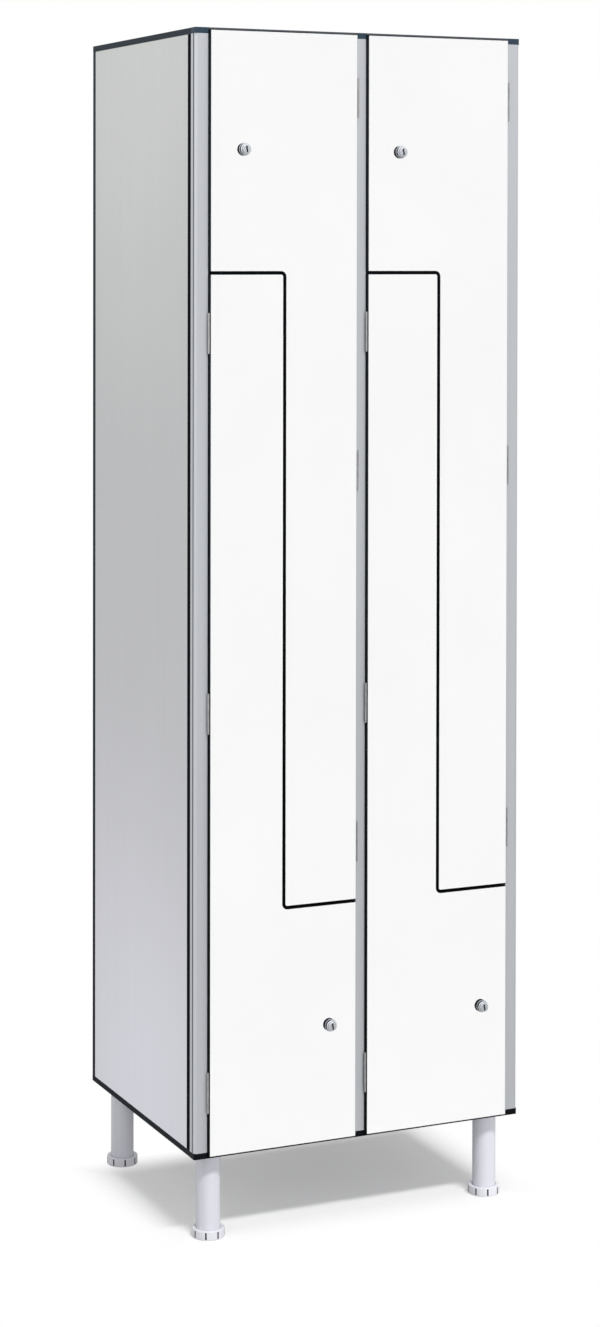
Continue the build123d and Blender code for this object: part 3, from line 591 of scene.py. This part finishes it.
class FINISH_OT_boards(bpy.types.Operator):
    """Ease the carcass boards' edges and give them their laminate."""
    bl_idname = "z_locker.boards"
    bl_label = "Carcass boards"

    def execute(self, context):
        finishes = context.scene.z_locker_finishes
        details = context.scene.z_locker_details
        made = {}
        for node, axis in BOARDS.items():
            outside = node.endswith("side_panel")
            key = (outside, axis)
            if key not in made:
                colour = finishes.side_grey if outside else finishes.carcass_grey
                streaks = finishes.side_streaks if outside else 0.0
                name = ("side" if outside else "carcass") + "_laminate_" + "xyz"[axis]
                made[key] = laminate(
                    name, colour, finishes.core, finishes.top_sheen_core, axis, streaks)
            eased_board(node, made[key], details.board_ease)
        return {"FINISHED"}


class FINISH_OT_doors(bpy.types.Operator):
    """Give the four doors their white laminate on a black core."""
    bl_idname = "z_locker.doors"
    bl_label = "Doors"

    def execute(self, context):
        finishes = context.scene.z_locker_finishes
        white = laminate(
            "door_laminate", finishes.door_white, finishes.door_core, finishes.top_sheen_door_core, 1)
        for title in TITLES:
            dress(title + "_door", white)
        return {"FINISHED"}


class FINISH_OT_posts(bpy.types.Operator):
    """Finish the posts, their caps and their seals."""
    bl_idname = "z_locker.posts"
    bl_label = "Posts"

    def execute(self, context):
        finishes = context.scene.z_locker_finishes
        details = context.scene.z_locker_details
        aluminium = anodised("anodised_post", finishes.aluminium, details)
        for node in ("left_post", "centre_post", "right_post"):
            dress(node, aluminium)
        # The caps are painted paler and bluer towards the top as a sheen.
        black = moulded(
            "cap_moulding", finishes.cap, rough=0.42, grain=0.00001, mirror=0.08,
            high=finishes.top_sheen_cap)
        refined("post_caps", black, details.plastic_ease, "_moulded")
        dress("post_seals", ribbed_rubber("seal_rubber", finishes.seal))
        return {"FINISHED"}


class FINISH_OT_sills(bpy.types.Operator):
    """Lay the thin trim strips over and under the doors, between the post caps."""
    bl_idname = "z_locker.sills"
    bl_label = "Sill strips"

    def execute(self, context):
        finishes = context.scene.z_locker_finishes
        details = context.scene.z_locker_details
        look = {"rough": 0.42, "grain": 0.00001, "mirror": 0.2}
        black = moulded("sill_moulding", finishes.cap, **look)
        slate = moulded("lintel_moulding", finishes.lintel, **look)
        strips = (("sill", BASE, BASE + details.sill, black),
                  ("lintel", TOP - details.lintel, TOP, slate))
        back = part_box("bottom_panel")[0].y
        posts = [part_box(node) for node in ("left_post", "centre_post", "right_post")]
        for column, left, right in zip(("left", "right"), posts, posts[1:]):
            for title, lower, upper, plastic in strips:
                low = Vector((left[1].x, FACE, lower))
                high = Vector((right[0].x, back, upper))
                made = bmesh.new()
                shape = Matrix.Translation((low + high) / 2) @ Matrix.Diagonal((*(high - low), 1))
                bmesh.ops.create_cube(made, size=1, matrix=shape)
                name = column + "_" + title
                strip = add_piece(name, made, [plastic], "post_caps", SHARP, replaces=False)
                ease_by_angle(strip, details.metal_ease)
        return {"FINISHED"}


class FINISH_OT_hinges(bpy.types.Operator):
    """Round the hinges' pressed edges and brush their steel."""
    bl_idname = "z_locker.hinges"
    bl_label = "Hinges"

    def execute(self, context):
        finishes = context.scene.z_locker_finishes
        details = context.scene.z_locker_details
        steel = brushed("hinge_steel", finishes.stainless)
        nodes = [title + "_door_hinge_leaves" for title in TITLES]
        for node in nodes + ["post_hinge_leaves"]:
            refined(node, steel, details.metal_ease, "_pressed")
        dress("hinge_pins", steel)
        return {"FINISHED"}


class FINISH_OT_locks(bpy.types.Operator):
    """Turn the locks' housings, cut their threads and finish their other parts."""
    bl_idname = "z_locker.locks"
    bl_label = "Locks"

    def housing(self, node, details, materials):
        """A bezel, a rounded nose and a threaded body round the plug's bore; its flanks carry a
        painted dark reflection and the rim of its bore a painted shade.
        """
        low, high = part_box(node)
        bezel = (high.x - low.x) / 2
        nose = details.lock_nose
        body = details.lock_body
        bore = details.lock_bore
        front = DOOR_FRONT - low.y
        back = DOOR_FRONT - high.y
        step = details.lock_bezel
        round_nose = details.nose_round
        round_bezel = details.nose_round / 3
        root = body - details.lock_depth
        chamfer = 0.0003
        hair = 0.0002
        flank_slope = 0.6
        profile = [(bore, back), (root - chamfer, back), (root, back + chamfer), (root, 0.0)]
        profile += [(bezel - hair, 0.0), (bezel, hair)]
        corner = (bezel - round_bezel, step - round_bezel)
        profile += rounded_corner(corner, round_bezel, 0, 90)
        profile += [(nose, step)]
        corner = (nose - round_nose, front - round_nose)
        profile += rounded_corner(corner, round_nose, 0, 90, 6)
        profile += [(bore + chamfer, front), (bore, front - chamfer)]
        made = turned(profile, details.turned_steps)
        # Painted reflection and shade: the flanks take the second, near black finish as a dark
        # reflection, and the chamfer round the bore takes it as shade.
        for face in made.faces:
            middle = face.calc_center_median()
            reach = math.hypot(middle.x, middle.y)
            is_outside = reach > nose - round_nose
            is_flank = abs(face.normal.z) < flank_slope and middle.z > 0
            is_rim = bore < reach < bore + chamfer
            face.material_index = int(is_outside and is_flank or is_rim)
        add_thread(
            made, root, body, back + 2 * hair, -hair, details.lock_pitch, details.thread_steps)
        centre = Vector(((low.x + high.x) / 2, DOOR_FRONT, (low.z + high.z) / 2))
        made.transform(Matrix.Translation(centre) @ Matrix.Rotation(math.radians(90), 4, "X"))
        return add_piece(node + "_turned", made, materials, node, TURNED_SHARP)

    def cylinder(self, node, details, materials):
        """The plug, its edges eased and its keyway painted dark as shade."""
        made = joined_copy(node)
        low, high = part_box(node)
        middle = (low + high) / 2
        inner_share = 0.93
        inside = (high.x - low.x) / 2 * inner_share
        past_front = 0.0009
        # Painted shade: faces deep inside the keyway take the second, near black finish.
        for face in made.faces:
            spot = face.calc_center_median()
            is_inside = math.hypot(spot.x - middle.x, spot.z - middle.z) < inside
            is_deep = low.y + past_front < spot.y < DOOR_FRONT
            face.material_index = int(is_inside and is_deep)
        piece = add_piece(node + "_turned", made, materials, node, SHARP)
        ease_by_angle(piece, details.metal_ease)
        return piece

    def nut(self, node, material):
        """The clamping nut with its corners chamfered on both faces."""
        made = joined_copy(node)
        low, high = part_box(node)
        middle = (low + high) / 2
        across = (high.z - low.z) / 2
        corners = 6
        corner_share = 1.02
        lean = 0.5
        rise = 0.866
        for side, face_y in ((-1, low.y), (1, high.y)):
            for number in range(corners):
                angle = math.radians(360 / corners * number)
                outward = Vector((math.cos(angle), 0, math.sin(angle)))
                spot = Vector((middle.x, face_y, middle.z)) + outward * across * corner_share
                tilted = outward * lean + Vector((0, side, 0)) * rise
                cut = bmesh.ops.bisect_plane(
                    made, geom=made.verts[:] + made.edges[:] + made.faces[:], dist=MERGE,
                    plane_co=spot, plane_no=tilted, clear_outer=True)
                rim = [part for part in cut["geom_cut"] if isinstance(part, bmesh.types.BMEdge)]
                bmesh.ops.contextual_create(made, geom=rim)
        return add_piece(node + "_chamfered", made, [material], node, NUT_SHARP)

    def execute(self, context):
        finishes = context.scene.z_locker_finishes
        details = context.scene.z_locker_details
        chrome = plated("lock_plating", finishes.chrome, rough=0.6)
        plug = plated("plug_plating", finishes.plug, rough=0.42)
        # A painted dark reflection on the locks' flanks and painted shade round their bores.
        collar = moulded("lock_dark_reflection_and_shade", finishes.collar, rough=0.5, grain=0.000004, mirror=0.03)
        # Painted shade for the keyways.
        keyway = moulded("keyway_painted_shade", finishes.grime, rough=0.7, grain=0.000004, mirror=0.1)
        zinc = zinc_plated("cam_zinc", finishes.zinc)
        for title in TITLES:
            housing = self.housing(title + "_lock_housing", details, [chrome, collar])
            cylinder = self.cylinder(title + "_lock_cylinder", details, [plug, keyway])
            for piece in (housing, cylinder):
                piece.visible_shadow = False
                piece.visible_diffuse = False
            self.nut(title + "_lock_nut", zinc)
            refined(title + "_lock_cam", zinc, details.metal_ease, "_pressed")
        return {"FINISHED"}


class FINISH_OT_hardware(bpy.types.Operator):
    """Round and plate the keepers and coat hooks, and plate the screws."""
    bl_idname = "z_locker.hardware"
    bl_label = "Keepers, hooks and screws"

    def execute(self, context):
        finishes = context.scene.z_locker_finishes
        details = context.scene.z_locker_details
        zinc = zinc_plated("fitting_zinc", finishes.zinc)
        for node in ("lock_keepers", "coat_hooks"):
            refined(node, zinc, details.metal_ease * 2, "_formed")
        for node in ("panel_screws", "small_screws", "leg_screws"):
            dress(node, zinc)
        steel = brushed("hinge_screw_steel", finishes.stainless)
        for node in ["post_hinge_screws"] + [title + "_door_screws" for title in TITLES]:
            dress(node, steel)
        return {"FINISHED"}


class FINISH_OT_legs(bpy.types.Operator):
    """Mould the legs and feet, and cut the threads of their spindles."""
    bl_idname = "z_locker.legs"
    bl_label = "Legs and feet"

    def cup(self, node, details, materials):
        """The notched cup alone, without the plain spindle in it, its notches painted dark as
        shade.
        """
        low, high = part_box(node)
        centre = (low + high) / 2
        rim = max(high.x - low.x, high.y - low.y) / 2

        def reach(spot):
            return math.hypot(spot.x - centre.x, spot.y - centre.y)

        hair = 0.0001
        made = joined_copy(node, lambda vert: reach(vert.co) < details.spindle * (1 + hair))
        top = max(vert.co.z for vert in made.verts)
        slack = 0.05
        deep = rim - details.notch_depth * (1 + slack)
        edge_share = 0.99
        shallow = rim * edge_share
        end = details.notch_end * (1 - slack)
        # Painted shade: the notches' walls and floors take the second, near black finish.
        for face in made.faces:
            spot = face.calc_center_median()
            is_between = end < spot.z < top - end
            face.material_index = int(is_between and deep < reach(spot) < shallow)
        return add_piece(node + "_cup", made, materials, node, SHARP)

    def spindle(self, node, centre, details, material):
        """The threaded spindle that stands in the cup's base."""
        low = 0.002
        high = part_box(node)[1].z
        root = details.spindle - details.spindle_depth
        ease = 0.001
        middle = 0.00001
        hair = 0.0002
        profile = [(middle, low), (root, low), (root, high - ease), (root - ease, high)]
        profile += [(middle, high)]
        made = turned(profile, details.turned_steps // 2)
        add_thread(
            made, root, details.spindle, low + ease, high - hair, details.spindle_pitch,
            details.thread_steps)
        made.transform(Matrix.Translation((centre.x, centre.y, 0)))
        return add_piece(node + "_spindle", made, [material], node, TURNED_SHARP)

    def execute(self, context):
        finishes = context.scene.z_locker_finishes
        details = context.scene.z_locker_details
        fine = 0.000004
        streaks = (160, 160, 1.5)
        leg = moulded("leg_moulding", finishes.leg, rough=0.34, grain=fine, clouds=streaks)
        # Painted shade for the feet's notches.
        grime = moulded("notch_painted_shade", finishes.grime, rough=0.7, grain=fine, mirror=0.1)
        foot = moulded("foot_moulding", finishes.foot, rough=0.36, grain=fine)
        socket = moulded("socket_moulding", finishes.socket, rough=0.45, grain=2 * fine)
        zinc = zinc_plated("spindle_zinc", finishes.zinc)
        refined("leg_tubes", leg, details.plastic_ease, "_moulded")
        refined("leg_mounts", leg, details.plastic_ease, "_moulded")
        dress("leg_sockets", socket)
        for node in FEET:
            low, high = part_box(node)
            self.cup(node, details, [foot, grime])
            self.spindle(node, (low + high) / 2, details, zinc)
        return {"FINISHED"}


class FINISH_OT_stage(bpy.types.Operator):
    """Set up the floor, the soft light and the camera."""
    bl_idname = "z_locker.stage"
    bl_label = "Stage"

    def floor(self, stage):
        """A plain pale floor, white as the camera sees it, that keeps the shadow."""
        made = bmesh.new()
        bmesh.ops.create_grid(made, x_segments=1, y_segments=1, size=stage.floor_size)
        mesh = bpy.data.meshes.new("floor")
        made.to_mesh(mesh)
        made.free()
        floor = bpy.data.objects.new("floor", mesh)
        bpy.context.scene.collection.objects.link(floor)
        material = bpy.data.materials.new("studio_floor")
        material.use_nodes = True
        tree = material.node_tree
        tree.nodes.clear()
        output = tree.nodes.new("ShaderNodeOutputMaterial")
        plain = tree.nodes.new("ShaderNodeBsdfDiffuse")
        plain.inputs["Color"].default_value = (*[stage.floor] * 3, 1)
        seen = tree.nodes.new("ShaderNodeBsdfDiffuse")
        seen.inputs["Color"].default_value = (*[stage.floor_seen] * 3, 1)
        lift = tree.nodes.new("ShaderNodeEmission")
        lift.inputs["Strength"].default_value = stage.floor_lift
        both = tree.nodes.new("ShaderNodeAddShader")
        tree.links.new(seen.outputs[0], both.inputs[0])
        tree.links.new(lift.outputs[0], both.inputs[1])
        path = tree.nodes.new("ShaderNodeLightPath")
        white = tree.nodes.new("ShaderNodeEmission")
        fading = tree.nodes.new("ShaderNodeMixShader")
        tree.links.new(self.fade(tree, stage), fading.inputs[0])
        tree.links.new(both.outputs[0], fading.inputs[1])
        tree.links.new(white.outputs[0], fading.inputs[2])
        choice = tree.nodes.new("ShaderNodeMixShader")
        tree.links.new(path.outputs["Is Camera Ray"], choice.inputs[0])
        tree.links.new(plain.outputs[0], choice.inputs[1])
        tree.links.new(fading.outputs[0], choice.inputs[2])
        tree.links.new(choice.outputs[0], output.inputs["Surface"])
        mesh.materials.append(material)

    def fade(self, tree, stage):
        """None under the object, and all of it where the floor has gone white."""
        place = tree.nodes.new("ShaderNodeTexCoord")
        parts = tree.nodes.new("ShaderNodeSeparateXYZ")
        tree.links.new(place.outputs["Object"], parts.inputs[0])
        reaches = []
        for part, sign, edge in (("X", 1, stage.halo_side), ("X", -1, stage.halo_side),
                                 ("Y", -1, stage.halo_front), ("Y", 1, stage.halo_back)):
            distance = tree.nodes.new("ShaderNodeMath")
            distance.operation = "MULTIPLY"
            distance.inputs[1].default_value = sign
            tree.links.new(parts.outputs[part], distance.inputs[0])
            reach = tree.nodes.new("ShaderNodeMapRange")
            reach.interpolation_type = "SMOOTHSTEP"
            reach.inputs["From Min"].default_value = edge
            reach.inputs["From Max"].default_value = edge + stage.halo_fade
            tree.links.new(distance.outputs[0], reach.inputs["Value"])
            reaches.append(reach.outputs["Result"])
        most = reaches[0]
        for reach in reaches[1:]:
            larger = tree.nodes.new("ShaderNodeMath")
            larger.operation = "MAXIMUM"
            tree.links.new(most, larger.inputs[0])
            tree.links.new(reach, larger.inputs[1])
            most = larger.outputs[0]
        return most

    def sky(self, stage):
        """White behind the object and in its reflections, and a plain soft dome."""
        world = bpy.data.worlds.new("studio")
        bpy.context.scene.world = world
        world.use_nodes = True
        tree = world.node_tree
        tree.nodes.clear()
        output = tree.nodes.new("ShaderNodeOutputWorld")
        path = tree.nodes.new("ShaderNodeLightPath")
        seen = path.outputs["Is Camera Ray"]
        for name in ("Is Glossy Ray", "Is Transmission Ray"):
            either = tree.nodes.new("ShaderNodeMath")
            either.operation = "MAXIMUM"
            tree.links.new(seen, either.inputs[0])
            tree.links.new(path.outputs[name], either.inputs[1])
            seen = either.outputs[0]
        dome = tree.nodes.new("ShaderNodeBackground")
        dome.inputs["Strength"].default_value = stage.dome
        white = tree.nodes.new("ShaderNodeBackground")
        for background in (dome, white):
            background.inputs["Color"].default_value = (1, 1, 1, 1)
        choice = tree.nodes.new("ShaderNodeMixShader")
        tree.links.new(seen, choice.inputs[0])
        tree.links.new(dome.outputs[0], choice.inputs[1])
        tree.links.new(white.outputs[0], choice.inputs[2])
        tree.links.new(choice.outputs[0], output.inputs["Surface"])

    def distant_lamp(self, name, strength, spread, towards):
        """A far soft lamp, the same all over the object."""
        light = bpy.data.lights.new(name, "SUN")
        light.energy = strength
        light.angle = spread
        lamp = bpy.data.objects.new(name, light)
        bpy.context.scene.collection.objects.link(lamp)
        away = 6
        lamp.location = -towards * away
        lamp.rotation_euler = towards.to_track_quat("-Z", "Y").to_euler()

    def near_lamp(self, name, watts, colour, size, place, towards, pieces):
        """A square soft lamp that lights some pieces alone and shows in no reflection."""
        light = bpy.data.lights.new(name, "AREA")
        light.energy = watts
        light.size = size
        light.color = colour
        lamp = bpy.data.objects.new(name, light)
        bpy.context.scene.collection.objects.link(lamp)
        lamp.location = place
        lamp.rotation_euler = towards.to_track_quat("-Z", "Y").to_euler()
        lamp.visible_glossy = False
        lit = bpy.data.collections.new(name + "_pieces")
        for piece in pieces:
            lit.objects.link(piece)
        lamp.light_linking.receiver_collection = lit

    def lamps(self, stage):
        """A row of soft lamps in front, one on the left, and three that light a few pieces."""
        turns = (-10, -5, 0, 5, 10, 15)
        front_spread = math.radians(6)
        for number, degrees in enumerate(turns):
            turn = Matrix.Rotation(math.radians(degrees), 3, "Z")
            rise = math.sin(stage.key_height)
            towards = turn @ Vector((0, math.cos(stage.key_height), -rise))
            name = "front_lamp_%d" % number
            self.distant_lamp(name, stage.key / len(turns), front_spread, towards)
        left_spread = math.radians(60)
        from_left = Vector((0.86, 0.3, -0.42)).normalized()
        self.distant_lamp("left_lamp", stage.fill, left_spread, from_left)
        size = stage.near_lamp_size
        low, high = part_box("left_side_panel")
        panel = [bpy.data.objects["left_side_panel_board"]]
        away = Vector((low.x - stage.side_lamp_away, (low.y + high.y) / 2, 0))
        for name, watts, colour, height in (
                ("low_lamp", stage.low, stage.low_colour, low.z),
                ("high_lamp", stage.high, stage.high_colour, high.z)):
            place = away + Vector((0, 0, height))
            self.near_lamp(name, watts, colour, size, place, Vector((1, 0, 0)), panel)
        names = ["leg_tubes_moulded", "leg_mounts_moulded"] + [node + "_cup" for node in FEET]
        legs = [bpy.data.objects[name] for name in names]
        place = Vector((1.4, FACE - 1.8, 0.3))
        inward = Vector((-0.7, 1, 0))
        self.near_lamp("leg_lamp", stage.legs, (1, 1, 1), size, place, inward, legs)

    def camera(self, stage):
        """The camera at the photograph's place and angle."""
        camera = bpy.data.cameras.new("camera")
        camera.lens = stage.lens
        full_frame = 36
        camera.sensor_width = full_frame
        camera.shift_y = stage.shift
        past_floor = 200
        camera.clip_end = past_floor
        holder = bpy.data.objects.new("camera", camera)
        bpy.context.scene.collection.objects.link(holder)
        turn = Matrix.Rotation(-stage.camera_turn, 4, "Z")
        tilt = Matrix.Rotation(math.radians(90) + stage.camera_tilt, 4, "X")
        roll = Matrix.Rotation(stage.camera_roll, 4, "Z")
        place = Vector((-stage.camera_across, FACE - stage.camera_away, stage.camera_height))
        holder.matrix_world = Matrix.Translation(place) @ turn @ tilt @ roll
        bpy.context.scene.camera = holder

    def execute(self, context):
        stage = context.scene.z_locker_stage
        self.floor(stage)
        self.sky(stage)
        self.lamps(stage)
        self.camera(stage)
        context.scene.view_settings.view_transform = "Standard"
        return {"FINISHED"}


OPERATORS = (
    FINISH_OT_boards,
    FINISH_OT_doors,
    FINISH_OT_posts,
    FINISH_OT_sills,
    FINISH_OT_hinges,
    FINISH_OT_locks,
    FINISH_OT_hardware,
    FINISH_OT_legs,
    FINISH_OT_stage,
)


class FINISH_PT_z_locker(bpy.types.Panel):
    """Lists the locker's settings and steps in the sidebar."""
    bl_label = "Z locker"
    bl_idname = "FINISH_PT_z_locker"
    bl_space_type = "VIEW_3D"
    bl_region_type = "UI"
    bl_category = "Z locker"

    def draw(self, context):
        scene = context.scene
        for group in (scene.z_locker_finishes, scene.z_locker_details, scene.z_locker_stage):
            column = self.layout.column(align=True)
            for name in group.__annotations__:
                column.prop(group, name)
        column = self.layout.column(align=True)
        for operator in OPERATORS:
            column.operator(operator.bl_idname)


GROUPS = {
    "z_locker_finishes": ZLockerFinishes,
    "z_locker_details": ZLockerDetails,
    "z_locker_stage": ZLockerStage,
}


def register():
    """Makes the settings, the operators and the panel known to Blender."""
    for name, group in GROUPS.items():
        bpy.utils.register_class(group)
        setattr(bpy.types.Scene, name, PointerProperty(type=group))
    for operator in OPERATORS:
        bpy.utils.register_class(operator)
    bpy.utils.register_class(FINISH_PT_z_locker)


def unregister():
    """Takes them away again."""
    bpy.utils.unregister_class(FINISH_PT_z_locker)
    for operator in reversed(OPERATORS):
        bpy.utils.unregister_class(operator)
    for name, group in GROUPS.items():
        delattr(bpy.types.Scene, name)
        bpy.utils.unregister_class(group)


def main():
    """Runs every step in order."""
    register()
    for operator in OPERATORS:
        step = operator.bl_idname.split(".")[1]
        getattr(bpy.ops.z_locker, step)()


if __name__ == "__main__":
    main()
